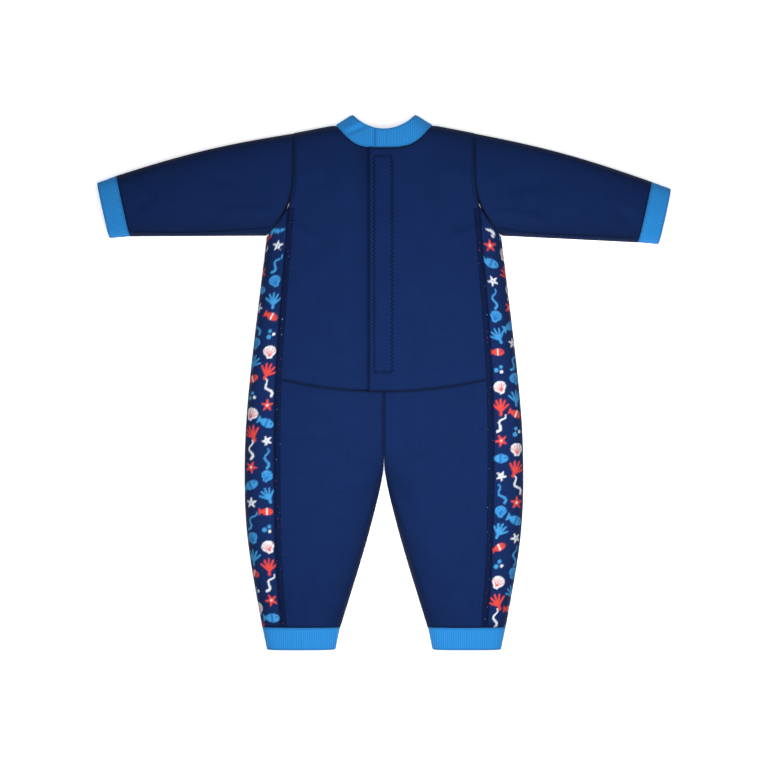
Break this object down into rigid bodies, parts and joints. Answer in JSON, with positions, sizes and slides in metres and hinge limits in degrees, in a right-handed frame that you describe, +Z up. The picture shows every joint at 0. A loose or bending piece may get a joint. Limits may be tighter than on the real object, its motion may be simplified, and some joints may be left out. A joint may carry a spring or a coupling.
{
  "type": "full wetsuit",
  "caption": "Small child's long-sleeved one-piece wetsuit lying flat: a front placket flap, knit collar and cuffs, printed side panels, hollow body, sleeves and legs.",
  "frame": {"origin": "middle of the suit's box, on the surface that it lies on", "axes": "+Z up out of the surface, +Y towards the collar, +X towards the wearer's left sleeve"},
  "size_m": [0.6164, 0.5746, 0.0299],
  "materials": {
    "neoprene": "matt knit-faced neoprene, navy",
    "printed_neoprene": null,
    "rib_knit": "fine rib knit, mid blue",
    "fastener_tape": "hook and loop pile, navy",
    "thread": "twisted polyester thread, dark navy"
  },
  "bodies": {
    "torso": {"back_panel": "neoprene", "front_panel_right": "neoprene", "front_panel_left": "neoprene", "placket_foot": "neoprene", "loop_tape": "fastener_tape", "collar": "rib_knit", "side_panel_left_upper": "printed_neoprene", "side_panel_right_upper": "printed_neoprene", "armhole_stitching_left": "thread", "armhole_stitching_right": "thread", "side_stitching_left_upper": "thread", "side_stitching_right_upper": "thread", "sleeve_left_upper": "neoprene", "sleeve_right_upper": "neoprene"},
    "flap": {"placket_flap": "neoprene", "hook_tape": "fastener_tape", "placket_stitching": "thread", "collar_flap_end": "rib_knit"},
    "sleeve_left": {"sleeve_left_lower": "neoprene", "wrist_cuff_left": "rib_knit"},
    "sleeve_right": {"sleeve_right_lower": "neoprene", "wrist_cuff_right": "rib_knit"},
    "legs": {"leg_front_left": "neoprene", "leg_front_right": "neoprene", "leg_back_left": "neoprene", "leg_back_right": "neoprene", "side_panel_left_lower": "printed_neoprene", "side_panel_right_lower": "printed_neoprene", "ankle_cuff_left": "rib_knit", "ankle_cuff_right": "rib_knit", "side_stitching_left_lower": "thread", "side_stitching_right_lower": "thread", "centre_seam_stitching": "thread"}
  },
  "joints": [
    {"name": "placket_opening", "type": "hinge", "parent": "torso", "child": "flap", "pos_m": [0.0148, 0.128, 0.0299], "axis": [0, 1, 0], "range_deg": [0, 150]},
    {"name": "sleeve_left_fold", "type": "hinge", "parent": "torso", "child": "sleeve_left", "pos_m": [0.137, 0.205, 0.0262], "axis": [0, -1, 0], "range_deg": [0, 130]},
    {"name": "sleeve_right_fold", "type": "hinge", "parent": "torso", "child": "sleeve_right", "pos_m": [-0.137, 0.208, 0.0262], "axis": [0, 1, 0], "range_deg": [0, 130]},
    {"name": "legs_fold", "type": "hinge", "parent": "torso", "child": "legs", "pos_m": [0, -0.00325, 0.031], "axis": [-1, 0, 0], "range_deg": [0, 110]}
  ]
}
